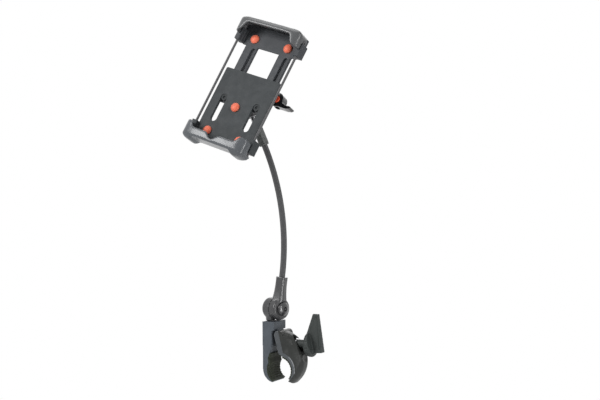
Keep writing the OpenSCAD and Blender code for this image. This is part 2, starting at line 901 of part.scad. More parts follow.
module ball_stud() {
    color([0.45, 0.45, 0.46])
        at_top_mouth() {
            translate([0, 0, ball_reach]) sphere(r = ball_r);
            translate([0, 0, top_sleeve_l]) cylinder(r = stud_neck_d / 2, h = ball_reach - top_sleeve_l);
            translate([0, 0, neck_seat + 2.2])
                cylinder(r = stud_neck_d / 2 - 0.5, h = top_sleeve_l - neck_seat);
        }
}

// Ball head
module lug_profile() {
    run = [lever_back, lever_up];
    l = norm(run);
    side = [run[1], -run[0]] / l;
    foot_r = 8.5;
    polygon([
        [ball_back, ball_up] + foot_r * side, [lever_y, lever_z] + lug_r * side,
        [lever_y, lever_z] - lug_r * side, [ball_back, ball_up] - foot_r * side
    ]);
    translate([lever_y, lever_z]) circle(r = lug_r);
}

module ball_socket() {
    color([0.16, 0.16, 0.17])
        difference() {
            at_cradle()
                difference() {
                    union() {
                        translate([0, ball_back, ball_up]) sphere(r = socket_r);
                        rod_y(stem_r, hub_flange_y, ball_back, 0, ball_up);
                        rod_y(flange_r, hub_flange_y, hub_flange_y + hub_flange_t, 0, ball_up);
                        translate([clamp_lug[0], 0, 0])
                            rotate([90, 0, 90])
                                linear_extrude(height = clamp_lug[1] - clamp_lug[0]) lug_profile();
                    }
                    block([-slit_w / 2, ball_back - ball_r, ball_up], [slit_w / 2, ball_back + 30, lever_z + 20]);
                    rod_x(lever_bolt_r + run_gap, -30, 30, lever_y, lever_z);
                }
            translate(ball_c) sphere(r = ball_r + run_gap);
            at_top_mouth()
                translate([0, 0, ball_reach])
                    rotate([180, 0, 0])
                        cylinder(r1 = 0, r2 = 2 * socket_r * tan(mouth_half), h = 2 * socket_r);
        }
}

module lever_bolt() {
    color([0.6, 0.6, 0.62])
        at_cradle()
            difference() {
                union() {
                    rod_x(lever_bolt_r, clamp_lug[0] - 3, lever_out, lever_y, lever_z);
                    rod_x(4.4, clamp_lug[0] - 3.2, clamp_lug[0] - 0.2, lever_y, lever_z);
                    rod_y(4, lever_y - lever_slot / 2 + 0.3, lever_y + lever_slot / 2 - 0.3, lever_out, lever_z);
                }
                rod_y(lever_pin_r + run_gap, 0, 60, lever_out, lever_z);
            }
}

module lever_saddle() {
    color([0.14, 0.14, 0.15])
        at_cradle()
            difference() {
                rod_x(saddle_r, clamp_lug[1] + 0.1, lever_out, lever_y, lever_z);
                rod_y(lever_eye_r + 0.1, 0, 60, lever_out, lever_z);
                rod_x(lever_bolt_r + run_gap, 0, 60, lever_y, lever_z);
            }
}

module lever_profile() {
    low = 1 - lever_eye_r;
    circle(r = lever_eye_r);
    polygon([
        [-2, -lever_eye_r + 0.3], [4, low], [lever_reach * 0.66, low], [lever_reach * 0.9, low + 1],
        [lever_reach, low + 3], [lever_reach * 0.95, low + 4.4], [lever_reach * 0.66, low + 4],
        [lever_eye_r + 1, low + 5.2], [lever_eye_r - 0.4, 0]
    ]);
}

module cam_lever() {
    color([0.1, 0.1, 0.11])
        at_cradle()
            difference() {
                translate([lever_out, 0, lever_z]) xz(lever_w, lever_y) lever_profile();
                block(
                    [lever_out - 20, lever_y - lever_slot / 2, lever_z - 20],
                    [lever_out + 4.4, lever_y + lever_slot / 2, lever_z + 20]
                );
                rod_y(lever_pin_r + run_gap, 0, 60, lever_out, lever_z);
                // Scoop under the thumb
                rod_y(9, 0, 60, lever_out + lever_reach * 0.72, lever_z + 7.2);
            }
}

module lever_pin() {
    color([0.6, 0.6, 0.62])
        at_cradle()
            rod_y(lever_pin_r, lever_y - lever_w / 2 + 0.2, lever_y + lever_w / 2 - 0.2, lever_out, lever_z);
}

module lever_cap() {
    color([0.93, 0.32, 0.24])
        at_cradle()
            translate([lever_out, lever_y - lever_w / 2, lever_z])
                rotate([90, 0, 0])
                    rotate_extrude() drum_profile(cap_h, cap_d / 2, 0.9);
}

// Cradle plate
module corner_lug(z) {
    difference() {
        block([lug_in - eps, lug_y[0], z[0]], [lug_in + lug_w, lug_y[1], z[1]]);
        block([lug_in - 2 * eps, lug_y[0] - eps, z[0] - eps], [lug_in, 0, z[1] + eps]);
        translate([elastic_u, elastic_y, z[0] - eps]) cylinder(r = elastic_d / 2 + 0.15, h = z[1] - z[0] + 2 * eps);
    }
}

// Pocket for the knot at the end of an elastic cord
module knot_room(z) {
    translate([elastic_u, elastic_y, z]) cylinder(r = knot_r + 0.5, h = 2 * knot_r + 1);
}

module guide_rail() {
    block([leg_out + rail_gap, plate_t - eps, rail_low], [leg_out + rail_gap + rail_t, frame_rear + 1.8, plate_top]);
    block([leg_out - 2.5, frame_rear + free_gap, rail_low], [leg_out + rail_gap + eps, frame_rear + 1.8, plate_top]);
}

module stem_hole(at, y) {
    rod_y(bumper_stem_r + 0.05, y - eps, y + 2.6, at[0], at[1]);
}

module cradle_plate() {
    color([0.29, 0.31, 0.32])
        at_cradle()
            difference() {
                union() {
                    xz(plate_t, plate_t / 2) rounded([-plate_w / 2, -plate_bottom], [plate_w / 2, plate_top], 2);
                    both_sides() {
                        block([plate_w / 2 - 2, plate_t - eps, 3 - plate_bottom], [plate_w / 2, edge_flange, plate_top - 2]);
                        guide_rail();
                        corner_lug(low_lug_z);
                    }
                }
                both_sides()
                    xz(40) {
                        translate([slot_u, slot_top - slot_w / 2]) circle(d = slot_w);
                        translate([slot_u, slot_w / 2 - slot_bottom]) circle(d = slot_w);
                        translate([slot_u - slot_w / 2, slot_w / 2 - slot_bottom])
                            square([slot_w, slot_top + slot_bottom - slot_w]);
                    }
                stem_hole(bumper_mid, 0);
                stem_hole(bumper_low, 0);
                stem_hole([-bumper_low[0], bumper_low[1]], 0);
                for (a = [30:120:270])
                    rod_y(0.9, plate_t - 2, 40, hub_screw_r * sin(a), ball_up + hub_screw_r * cos(a));
            }
}

module hub_cover() {
    color([0.15, 0.15, 0.16])
        at_cradle()
            difference() {
                rod_y(hub_d / 2, plate_t, hub_cover_y + hub_wall, 0, ball_up);
                rod_y(flange_r + 0.3, plate_t - eps, hub_cover_y, 0, ball_up);
                rod_y(stem_r + run_gap, 0, 40, 0, ball_up);
                for (a = [30:120:270])
                    rod_y(0.95, 0, 40, hub_screw_r * sin(a), ball_up + hub_screw_r * cos(a));
            }
}

module hub_screws() {
    color([0.6, 0.6, 0.62])
        at_cradle()
            for (a = [30:120:270]) {
                rod_y(0.85, plate_t - 1.8, hub_cover_y + hub_wall + 0.5, hub_screw_r * sin(a), ball_up + hub_screw_r * cos(a));
                rod_y(1.3, hub_cover_y + hub_wall, hub_cover_y + hub_wall + 0.9, hub_screw_r * sin(a), ball_up + hub_screw_r * cos(a));
            }
}

// Half of the front view of the lower holder
function low_outline() = concat(
    [[0, low_recess - low_bottom]],
    [for (i = [0:8]) [recess_u - 4 + i * 0.75, low_recess * (1 + cos(22.5 * i)) / 2 - low_bottom]],
    arc([low_holder_w / 2 - corner_r, corner_r - low_bottom], corner_r, -90, 0, 8),
    [[low_holder_w / 2, -ear_top - 2], [low_holder_w / 2 - 2, -ear_top], [0, -ear_top]]
);

// What a holder keeps when its front corners are rounded, seen from above
module plan(half, front, r) {
    translate([0, 0, -100])
        linear_extrude(height = 300) rounded([-half, front], [half, 40], r);
}

// Open space above the lip of the lower holder: ears at the ends and a dip in the middle
function lip_line() = concat(
    [for (i = [0:10])
        [dip_u * i / 10, -lip_top - (lip_dip - lip_top) * (1 + cos(18 * i)) / 2]],
    [for (i = [0:8])
        [ear_u - 6 + i, -lip_top + (lip_top - ear_top + 0.5) * (1 - cos(22.5 * i)) / 2]]
);

// Side view of the lower holder: y and z
module low_side() {
    r = 9;
    y0 = -holder_reach;
    polygon(concat(
        [[plate_t, -low_bottom + 2], [plate_t, -low_floor]],
        [[0, -low_floor], [0, -ear_top], [y0 + 1.5, -ear_top], [y0, -ear_top - 1.5]],
        arc([y0 + r, r - low_bottom], r, 180, 270, 8),
        [[plate_t - 2, -low_bottom]]
    ));
}

module lower_holder() {
    inner = low_holder_w / 2 - holder_wall;
    lip = holder_wall - holder_reach;
    color([0.38, 0.42, 0.47])
        at_cradle()
            difference() {
                intersection() {
                    both_sides() xz(80) polygon(low_outline());
                    translate([-100, 0, 0]) rotate([90, 0, 90]) linear_extrude(height = 200) low_side();
                    plan(low_holder_w / 2, -holder_reach, plan_r);
                }
                // Trough for the phone
                intersection() {
                    translate([-inner, 0, 0])
                        rotate([90, 0, 90])
                            linear_extrude(height = 2 * inner)
                                polygon(concat(
                                    [[eps, 0], [eps, -low_floor]],
                                    arc([lip + 2.5, 2.5 - low_floor], 2.5, 270, 180, 6),
                                    [[lip, 0]]
                                ));
                    plan(inner, lip, plan_r - holder_wall);
                }
                // Front lip
                both_sides()
                    xz(holder_wall + 3, -holder_reach + holder_wall / 2)
                        polygon(concat([[-1, -lip_dip]], lip_line(), [[ear_u + 2, 0], [-1, 0]]));
                // Room for the corner lugs
                both_sides() {
                    block([lug_in, lug_y[0], low_lug_z[0]], [lug_in + lug_w + eps, lug_y[1], 0]);
                    knot_room(low_lug_z[0] - 2 * knot_r - 0.8);
                }
            }
}

module bumper(at, y) {
    translate([at[0], y, at[1]])
        rotate([90, 0, 0])
            rotate_extrude() {
                polygon(concat(
                    [[0, 0], [bumper_d / 2 - 0.4, 0]],
                    [for (i = [0:10])
                        [bumper_d / 2 * cos(i * 9), 0.6 + (bumper_h - 0.6) * sin(i * 9)]]
                ));
                translate([0, -2.5]) square([bumper_stem_r, 2.6]);
            }
}

module lower_bumpers() {
    color([0.93, 0.32, 0.24])
        at_cradle() {
            bumper(bumper_mid, 0);
            bumper(bumper_low, 0);
            bumper([-bumper_low[0], bumper_low[1]], 0);
        }
}

// Sliding frame
module leg_groove() {
    for (side = [-1, 1])
        translate([side * slot_u + groove_shift, 0, 0])
            xz(2 * groove_t, frame_front) {
                translate([0, bar_low - 5]) circle(d = groove_w);
                translate([-groove_w / 2, leg_low + 8]) square([groove_w, bar_low - 13 - leg_low]);
                translate([0, leg_low + 8]) circle(d = groove_w);
            }
}

module sliding_frame() {
    color([0.27, 0.29, 0.3])
        at_cradle()
            difference() {
                union() {
                    xz(frame_t, frame_front + frame_t / 2) {
                        both_sides() rounded([leg_in, leg_low], [leg_out, bar_low + 5], 2);
                        rounded([-plate_w / 2, bar_low], [plate_w / 2, bar_top], 1.5);
                        rounded([1 - top_holder_w / 2, top_lug_z[1] - 2], [top_holder_w / 2 - 1, bar_top], 1.5);
                    }
                    both_sides() corner_lug(top_lug_z);
                }
                leg_groove();
                both_sides() {
                    stem_hole(bumper_top, frame_front);
                    rod_y(1.6, 0, 40, slot_u, boss_z);
                }
            }
}

module guide_screws() {
    color([0.12, 0.12, 0.13])
        at_cradle()
            both_sides() {
                difference() {
                    rod_y(boss_r, 0.6, frame_front, slot_u, boss_z);
                    rod_y(1.9, 0.6 - eps, 1.8, slot_u, boss_z);
                }
                rod_y(1.5, frame_front - eps, frame_rear - 0.2, slot_u, boss_z);
            }
}

// Half of the front view of the upper holder
function top_outline() = concat(
    [[0, bar_low + 6], [top_holder_w / 2, bar_low + 6]],
    arc([top_holder_w / 2 - corner_r, top_reach - corner_r], corner_r, 0, 90, 8),
    [[flap_u + 1, top_reach], [flap_u - 4, top_reach - 1.6], [0, top_reach - 1.6]]
);

module top_side() {
    r = 8;
    y0 = -hood_reach;
    polygon(concat(
        [[frame_front, bar_top], [frame_rear, bar_top], [frame_rear, top_reach - 1.5], [frame_rear - 1.5, top_reach]],
        arc([y0 + r, top_reach - r], r, 90, 180, 8),
        [[y0, bar_low], [frame_front, bar_low]]
    ));
}

module upper_holder() {
    inner = top_holder_w / 2 - holder_wall;
    lip = holder_wall - hood_reach;
    color([0.26, 0.27, 0.28])
        at_cradle()
            difference() {
                intersection() {
                    both_sides() xz(80) polygon(top_outline());
                    translate([-100, 0, 0]) rotate([90, 0, 90]) linear_extrude(height = 200) top_side();
                    plan(top_holder_w / 2, -hood_reach, plan_r);
                }
                // Hood for the phone
                intersection() {
                    translate([-inner, 0, 0])
                        rotate([90, 0, 90])
                            linear_extrude(height = 2 * inner)
                                polygon(concat(
                                    [[frame_front + eps, 0], [frame_front + eps, bar_top]],
                                    arc([lip + 3, bar_top - 3], 3, 90, 180, 6),
                                    [[lip, 0]]
                                ));
                    plan(inner, lip, plan_r - holder_wall);
                }
                // Front lip with a flap at each end
                both_sides()
                    xz(holder_wall + 3, -hood_reach + holder_wall / 2)
                        polygon([
                            [-1, top_reach - lip_low], [flap_u - 2.6, top_reach - lip_low],
                            [flap_u - 0.6, top_reach - lip_low - 3.4], [flap_u + 1.6, top_reach - flap_low + 3],
                            [flap_u + 5, top_reach - flap_low], [top_holder_w, top_reach - flap_low],
                            [top_holder_w, 0], [-1, 0]
                        ]);
                // Room for the corner lugs, and what lies below the flaps
                both_sides() {
                    block([lug_in, lug_y[0], 0], [lug_in + lug_w + eps, lug_y[1], top_lug_z[1]]);
                    knot_room(top_lug_z[1] - 0.2);
                }
                block([-100, -60, 0], [100, 20, top_reach - flap_low - 1]);
            }
}

module upper_bumpers() {
    color([0.93, 0.32, 0.24])
        at_cradle() both_sides() bumper(bumper_top, frame_front);
}

module elastic() {
    low = low_lug_z[0] - knot_r;
    high = top_lug_z[1] + knot_r;
    translate([elastic_u, elastic_y, low]) cylinder(d = elastic_d, h = high - low, $fn = 24);
    for (z = [low - 0.2, high + 0.2])
        translate([elastic_u, elastic_y, z]) sphere(r = knot_r, $fn = 32);
}

module elastic_right() {
    color([0.25, 0.25, 0.26]) at_cradle() elastic();
}

module elastic_left() {
    color([0.25, 0.25, 0.26]) at_cradle() mirror([1, 0, 0]) elastic();
}

fixed_jaw();
fixed_jaw_pad();
hinge_pin();
barrel_nut();
swivel_lock_pin();
moving_jaw();
moving_jaw_pad();
knob_washer();
clamp_screw();
wing_knob();
swivel_stud();
knuckle_base();
knuckle_washer();
knuckle_bolt();
knuckle_nut();
arm_knuckle();
neck();
upper_sleeve();
ball_stud();
ball_socket();
lever_bolt();
lever_saddle();
cam_lever();
lever_pin();
lever_cap();
cradle_plate();
hub_cover();
hub_screws();
lower_holder();
lower_bumpers();
sliding_frame();
upper_holder();
upper_bumpers();
guide_screws();
elastic_left();
elastic_right();
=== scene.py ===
"""Looks of the phone holder arm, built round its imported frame. All lengths are in metres."""

import json
import math

import bmesh
import bpy
from mathutils import Matrix, Vector


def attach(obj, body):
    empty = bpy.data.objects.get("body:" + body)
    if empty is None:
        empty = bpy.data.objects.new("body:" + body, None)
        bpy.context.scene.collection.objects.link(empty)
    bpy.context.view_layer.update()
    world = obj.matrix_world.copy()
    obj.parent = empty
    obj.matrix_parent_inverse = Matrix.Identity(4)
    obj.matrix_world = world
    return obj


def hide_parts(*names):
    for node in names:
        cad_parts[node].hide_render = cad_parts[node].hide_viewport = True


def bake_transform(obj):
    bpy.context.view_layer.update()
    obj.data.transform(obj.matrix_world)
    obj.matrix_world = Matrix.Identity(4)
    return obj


MM = 0.001
UP = Vector((0, 0, 1))

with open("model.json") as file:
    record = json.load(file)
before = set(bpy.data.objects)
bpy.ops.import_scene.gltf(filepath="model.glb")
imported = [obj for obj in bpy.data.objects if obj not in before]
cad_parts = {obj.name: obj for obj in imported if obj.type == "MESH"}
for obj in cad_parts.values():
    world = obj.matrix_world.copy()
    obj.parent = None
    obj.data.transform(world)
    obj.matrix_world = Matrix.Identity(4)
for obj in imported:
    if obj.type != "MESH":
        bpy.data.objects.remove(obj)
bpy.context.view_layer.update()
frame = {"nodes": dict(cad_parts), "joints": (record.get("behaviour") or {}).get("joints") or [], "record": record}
nodes = frame["nodes"]
joints = {joint["name"]: joint for joint in frame["joints"]}
bodies = frame["record"]["behaviour"]["bodies"]
body_of = {member: body for body, members in bodies.items() for member in members}
slot_of = {part["node"]: part["material_slot"] for part in frame["record"]["subparts"]}


def joint_place(name):
    return Vector(joints[name]["pos_m"])


def joint_axis(name):
    return Vector(joints[name]["axis"]).normalized()


# Camera: level, turned to the left of the screw, with a lens of this length on a 36 mm sensor
CAMERA_PLACE = (0.5639, -1.0831, 0.1959)
CAMERA_YAW = 26.7
CAMERA_LENS = 63.0
CAMERA_SENSOR = 36.0


def make_camera():
    data = bpy.data.cameras.new("camera")
    data.lens = CAMERA_LENS
    data.sensor_width = CAMERA_SENSOR
    data.clip_start = 0.01
    data.clip_end = 60.0
    camera = bpy.data.objects.new("camera", data)
    camera.location = CAMERA_PLACE
    camera.rotation_euler = (math.radians(90), 0, math.radians(CAMERA_YAW))
    bpy.context.scene.collection.objects.link(camera)
    bpy.context.scene.camera = camera


# Lights: place, the point each looks at, width and height, and power in watts
FOCUS = (-0.02, 0, 0.2)
LIGHTS = {
    "key": ((-1.1, -1.5, 1.2), FOCUS, (0.9, 1.1), 32),
    "strip": ((1.5, -0.76, 0.35), FOCUS, (0.12, 1.5), 9),
    "top": ((-0.2, 0.1, 2.0), FOCUS, (1.4, 1.0), 9),
    "low": ((0.9, -0.5, -0.35), (-0.02, 0, 0.3), (0.6, 0.6), 4),
    "back": ((-0.6, 1.6, 0.9), FOCUS, (1.2, 1.4), 6),
}


def area_light(name, place, target, size, power):
    data = bpy.data.lights.new(name, "AREA")
    data.shape = "RECTANGLE"
    data.size, data.size_y = size
    data.energy = power
    light = bpy.data.objects.new(name, data)
    light.location = place
    light.rotation_euler = (Vector(target) - Vector(place)).to_track_quat("-Z", "Y").to_euler()
    bpy.context.scene.collection.objects.link(light)


# Background: white to the eye, and a soft light of its own strength on the object
WHITE = (1, 1, 1, 1)
SOFT_COLOR = (0.95, 0.97, 1.0, 1)
SOFT_STRENGTH = 0.15

# Floor: far enough below the clamp to leave it hanging in the light, as the photograph shows it
FLOOR_HEIGHT = -0.45
FLOOR_HALF = 12.0
FLOOR_COLOR = (0.82, 0.82, 0.83, 1)


def seen_factor(tree):
    """1 for camera, glossy and transmission rays, 0 for the rays that light the object."""
    path = tree.nodes.new("ShaderNodeLightPath")
    value = path.outputs["Is Camera Ray"]
    for name in ("Is Glossy Ray", "Is Transmission Ray"):
        larger = tree.nodes.new("ShaderNodeMath")
        larger.operation = "MAXIMUM"
        tree.links.new(value, larger.inputs[0])
        tree.links.new(path.outputs[name], larger.inputs[1])
        value = larger.outputs[0]
    return value


def lit_or_seen(tree, output, lit, seen):
    """One shader for the rays that light the object, and another for those that see it."""
    mix = tree.nodes.new("ShaderNodeMixShader")
    tree.links.new(seen_factor(tree), mix.inputs["Fac"])
    tree.links.new(lit.outputs[0], mix.inputs[1])
    tree.links.new(seen.outputs[0], mix.inputs[2])
    out = tree.nodes.new(output)
    tree.links.new(mix.outputs[0], out.inputs["Surface"])


def make_world():
    world = bpy.data.worlds.new("studio")
    bpy.context.scene.world = world
    world.use_nodes = True
    tree = world.node_tree
    tree.nodes.clear()
    soft = tree.nodes.new("ShaderNodeBackground")
    soft.inputs["Color"].default_value = SOFT_COLOR
    soft.inputs["Strength"].default_value = SOFT_STRENGTH
    seen = tree.nodes.new("ShaderNodeBackground")
    seen.inputs["Color"].default_value = WHITE
    seen.inputs["Strength"].default_value = 1.0
    lit_or_seen(tree, "ShaderNodeOutputWorld", soft, seen)


def make_floor():
    half = FLOOR_HALF
    corners = [(-half, -half), (half, -half), (half, half), (-half, half)]
    floor = mesh_object("floor", [(x, y, FLOOR_HEIGHT) for x, y in corners], [(0, 1, 2, 3)])
    material = bpy.data.materials.new("floor_pale")
    material.use_nodes = True
    tree = material.node_tree
    tree.nodes.clear()
    matt = tree.nodes.new("ShaderNodeBsdfDiffuse")
    matt.inputs["Color"].default_value = FLOOR_COLOR
    white = tree.nodes.new("ShaderNodeEmission")
    white.inputs["Color"].default_value = WHITE
    white.inputs["Strength"].default_value = 1.0
    lit_or_seen(tree, "ShaderNodeOutputMaterial", matt, white)
    floor.data.materials.append(material)


# Materials: scales of the noise, in waves per metre
CLOUD_SCALE = 45
GLOSS_SCALE = 120
WEAR_SCALE = 220
TARNISH_SCALE = 300
POLISH_SCALE = 500
MARK_SCALE = 2500

# Materials: depth of the marks in metal, its rounded edges, and how rough coats and sheens are
MARK_DEPTH = 0.008 * MM
METAL_EDGE = 0.3 * MM
COAT_ROUGH = 0.14
SHEEN_ROUGH = 0.4

# Places of the colour sockets of a Mix node, which share their names with the other kinds
MIX_FIRST, MIX_SECOND, MIX_RESULT = 6, 7, 2


def new_material(name):
    material = bpy.data.materials.new(name)
    material.use_nodes = True
    tree = material.node_tree
    tree.nodes.clear()
    out = tree.nodes.new("ShaderNodeOutputMaterial")
    shader = tree.nodes.new("ShaderNodeBsdfPrincipled")
    tree.links.new(shader.outputs[0], out.inputs["Surface"])
    return material, tree, shader


def noise(tree, scale, detail):
    place = tree.nodes.new("ShaderNodeTexCoord")
    texture = tree.nodes.new("ShaderNodeTexNoise")
    texture.inputs["Scale"].default_value = scale
    texture.inputs["Detail"].default_value = detail
    texture.inputs["Roughness"].default_value = 0.5
    tree.links.new(place.outputs["Object"], texture.inputs["Vector"])
    return texture.outputs["Fac"]


def remap(tree, value, low, high, start=0.3, end=0.7):
    """The value from start to end, stretched to run from low to high."""
    node = tree.nodes.new("ShaderNodeMapRange")
    node.inputs["From Min"].default_value = start
    node.inputs["From Max"].default_value = end
    node.inputs["To Min"].default_value = low
    node.inputs["To Max"].default_value = high
    tree.links.new(value, node.inputs["Value"])
    return node.outputs["Result"]


def blend_colors(tree, factor, first, second):
    node = tree.nodes.new("ShaderNodeMix")
    node.data_type = "RGBA"
    tree.links.new(factor, node.inputs["Factor"])
    for place, value in ((MIX_FIRST, first), (MIX_SECOND, second)):
        if isinstance(value, tuple):
            node.inputs[place].default_value = value + (1,)
        else:
            tree.links.new(value, node.inputs[place])
    return node.outputs[MIX_RESULT]


def bump(tree, height, distance, normal):
    node = tree.nodes.new("ShaderNodeBump")
    node.inputs["Strength"].default_value = 1.0
    node.inputs["Distance"].default_value = distance
    tree.links.new(height, node.inputs["Height"])
    tree.links.new(normal, node.inputs["Normal"])
    return node.outputs["Normal"]


def rounded_edges(tree, radius):
    """The normal of edges rounded by a radius, and a mask that is 1 along those edges."""
    bevel = tree.nodes.new("ShaderNodeBevel")
    bevel.samples = 4
    bevel.inputs["Radius"].default_value = radius
    surface = tree.nodes.new("ShaderNodeNewGeometry")
    dot = tree.nodes.new("ShaderNodeVectorMath")
    dot.operation = "DOT_PRODUCT"
    tree.links.new(bevel.outputs["Normal"], dot.inputs[0])
    tree.links.new(surface.outputs["Normal"], dot.inputs[1])
    return bevel.outputs["Normal"], remap(tree, dot.outputs["Value"], 1, 0, 0.88, 0.995)


def scaled(color, factor):
    return tuple(min(1.0, channel * factor) for channel in color)


def moulded(name, color, rough, grain=0.012, grain_size=0.6, mottle=0.1, coat=0.0,
            specular=0.3, edge=1.5, radius=0.4, sheen=0.0):
    """Moulded plastic or rubber: cloudy colour, edges painted lighter in patches, partly as wear and
    partly as a painted highlight of rounded edges, a fine grain, and gloss that varies with handling.
    Grain, grain_size and radius are in millimetres."""
    material, tree, shader = new_material(name)
    cloud = remap(tree, noise(tree, CLOUD_SCALE, 4), 0, 1)
    body = blend_colors(tree, cloud, scaled(color, 1 - mottle), scaled(color, 1 + mottle))
    round_normal, edges = rounded_edges(tree, radius * MM)
    # Edges painted lighter by the factor edge, in patches: partly wear, partly a painted highlight where rounded
    # edges catch the light
    wear_and_highlight = tree.nodes.new("ShaderNodeMath")
    wear_and_highlight.operation = "MULTIPLY"
    tree.links.new(edges, wear_and_highlight.inputs[0])
    tree.links.new(remap(tree, noise(tree, WEAR_SCALE, 3), 0.35, 1.0), wear_and_highlight.inputs[1])
    worn_and_highlit = blend_colors(tree, wear_and_highlight.outputs[0], body, scaled(color, edge))
    gloss = remap(tree, noise(tree, GLOSS_SCALE, 3), rough - 0.05, rough + 0.06)
    height = noise(tree, 1 / (grain_size * MM), 2)
    tree.links.new(worn_and_highlit, shader.inputs["Base Color"])
    tree.links.new(gloss, shader.inputs["Roughness"])
    tree.links.new(bump(tree, height, grain * MM, round_normal), shader.inputs["Normal"])
    shader.inputs["Coat Weight"].default_value = coat
    shader.inputs["Coat Roughness"].default_value = COAT_ROUGH
    shader.inputs["Specular IOR Level"].default_value = specular
    shader.inputs["Sheen Weight"].default_value = sheen
    shader.inputs["Sheen Roughness"].default_value = SHEEN_ROUGH
    return material


def metal(name, color, rough):
    """Turned or plated metal: tiny marks and slight tarnish."""
    material, tree, shader = new_material(name)
    shader.inputs["Metallic"].default_value = 1.0
    tarnish = remap(tree, noise(tree, TARNISH_SCALE, 3), 0, 1)
    body = blend_colors(tree, tarnish, scaled(color, 0.85), scaled(color, 1.08))
    polish = remap(tree, noise(tree, POLISH_SCALE, 2), rough * 0.7, rough * 1.4)
    round_normal = rounded_edges(tree, METAL_EDGE)[0]
    marks = bump(tree, noise(tree, MARK_SCALE, 2), MARK_DEPTH, round_normal)
    tree.links.new(body, shader.inputs["Base Color"])
    tree.links.new(polish, shader.inputs["Roughness"])
    tree.links.new(marks, shader.inputs["Normal"])
    return material


# Each material: its kind, colour, roughness and what else it sets. All but the last four are slots
# of the record.
# edge sets how much lighter the edges are painted, partly wear and partly painted highlight
MATERIALS = {
    "jaw_plastic": (moulded, (0.092, 0.104, 0.118), 0.42, dict(specular=0.12, radius=0.6)),
    "moving_jaw_plastic": (
        moulded, (0.034, 0.036, 0.034), 0.36, dict(specular=0.2, radius=1.0, edge=2.6)),
    "pad_rubber": (
        moulded, (0.022, 0.026, 0.017), 0.6, dict(specular=0.15, radius=0.6, edge=5.0)),
    "pin_steel": (metal, (0.30, 0.30, 0.31), 0.35, {}),
    "plated_steel": (metal, (0.55, 0.55, 0.56), 0.28, {}),
    "washer_chrome": (metal, (0.80, 0.80, 0.82), 0.12, {}),
    "knob_plastic": (
        moulded, (0.044, 0.050, 0.048), 0.50,
        dict(grain=0.02, specular=0.2, radius=0.6, edge=2.0)),
    "knuckle_plastic": (
        moulded, (0.056, 0.056, 0.058), 0.26,
        dict(grain=0.002, specular=0.3, coat=0.2, edge=1.3)),
    "slip_washer": (moulded, (0.20, 0.20, 0.19), 0.5, {}),
    "bolt_black": (
        moulded, (0.026, 0.026, 0.028), 0.20,
        dict(grain=0.001, specular=0.5, coat=0.5, radius=0.8, edge=1.3)),
    "neck_cover": (moulded, (0.070, 0.070, 0.072), 0.34, dict(radius=0.2)),
    "sleeve_plastic": (
        moulded, (0.088, 0.093, 0.090), 0.34, dict(coat=0.1, radius=1.0, edge=1.2)),
    "ball_metal": (metal, (0.35, 0.35, 0.36), 0.3, {}),
    "socket_plastic": (moulded, (0.028, 0.028, 0.030), 0.42, {}),
    "lever_plastic": (
        moulded, (0.014, 0.014, 0.015), 0.22,
        dict(grain=0.002, specular=0.5, coat=0.4, radius=0.8, edge=3.0)),
    "orange_plastic": (moulded, (0.80, 0.10, 0.045), 0.35, dict(mottle=0.05)),
    "plate_plastic": (moulded, (0.040, 0.045, 0.048), 0.55, dict(specular=0.2, edge=2.6)),
    "holder_gloss": (
        moulded, (0.090, 0.098, 0.107), 0.25,
        dict(grain=0.001, specular=0.35, coat=0.2, edge=1.2)),
    "holder_satin": (
        moulded, (0.096, 0.099, 0.102), 0.27,
        dict(grain=0.001, specular=0.35, coat=0.15, edge=1.2)),
    "orange_rubber": (moulded, (0.94, 0.200, 0.110), 0.40, dict(sheen=0.3, edge=1.1)),
    "elastic_cord": (
        moulded, (0.115, 0.115, 0.118), 0.6, dict(specular=0.25, sheen=0.3, radius=0.2)),
    "boss_black": (moulded, (0.034, 0.038, 0.040), 0.6, dict(specular=0.2, edge=2.6)),
    # Painted sheen on the moving jaw's inner band, standing in for a bevel that catches the light, and a painted
    # highlight line on the rim behind it
    "jaw_band": (
        moulded, (0.070, 0.077, 0.083), 0.32, dict(coat=0.2, radius=0.8, edge=3.0)),
    "jaw_rim": (
        moulded, (0.24, 0.25, 0.26), 0.30, dict(specular=0.4, coat=0.3, edge=1.2)),
    # A lighter copy of plate_plastic: painted light against the shade that falls on the sliding frame
    "slider_plastic": (
        moulded, (0.050, 0.054, 0.060), 0.5, dict(specular=0.25, radius=0.6, edge=2.6)),
}


def make_materials():
    return {
        name: kind(name, color, rough, **rest)
        for name, (kind, color, rough, rest) in MATERIALS.items()
    }


def dress_nodes():
    """Every CAD node takes the material of its slot, and the two bosses a duller one."""
    for node, slot in slot_of.items():
        nodes[node].data.materials.clear()
        nodes[node].data.materials.append(materials[slot])
    nodes["guide_screws"].data.materials[0] = materials["boss_black"]


# Pieces that stand for CAD nodes
def finish_piece(piece, node):
    """A piece takes the material of the slot of the node that it stands for."""
    piece.data.materials.clear()
    piece.data.materials.append(materials[slot_of[node]])
    for face in piece.data.polygons:
        face.use_smooth = True
    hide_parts(node)


def mesh_object(name, verts, faces):
    mesh = bpy.data.meshes.new(name)
    mesh.from_pydata([tuple(v) for v in verts], [], faces)
    mesh.update()
    piece = bpy.data.objects.new(name, mesh)
    bpy.context.scene.collection.objects.link(piece)
    return piece


def tidy_normals(piece):
    work = bmesh.new()
    work.from_mesh(piece.data)
    bmesh.ops.recalc_face_normals(work, faces=work.faces)
    work.to_mesh(piece.data)
    work.free()


def closed_tube(name, verts, rings, sides):
    """Rings of points, one after the other, skinned and closed at both ends."""
    faces = []
    for i in range(rings - 1):
        for k in range(sides):
            a, b = i * sides + k, i * sides + (k + 1) % sides
            faces.append((a, b, b + sides, a + sides))
    faces.append(tuple(reversed(range(sides))))
    faces.append(tuple(range((rings - 1) * sides, rings * sides)))
    piece = mesh_object(name, verts, faces)
    tidy_normals(piece)
    return piece


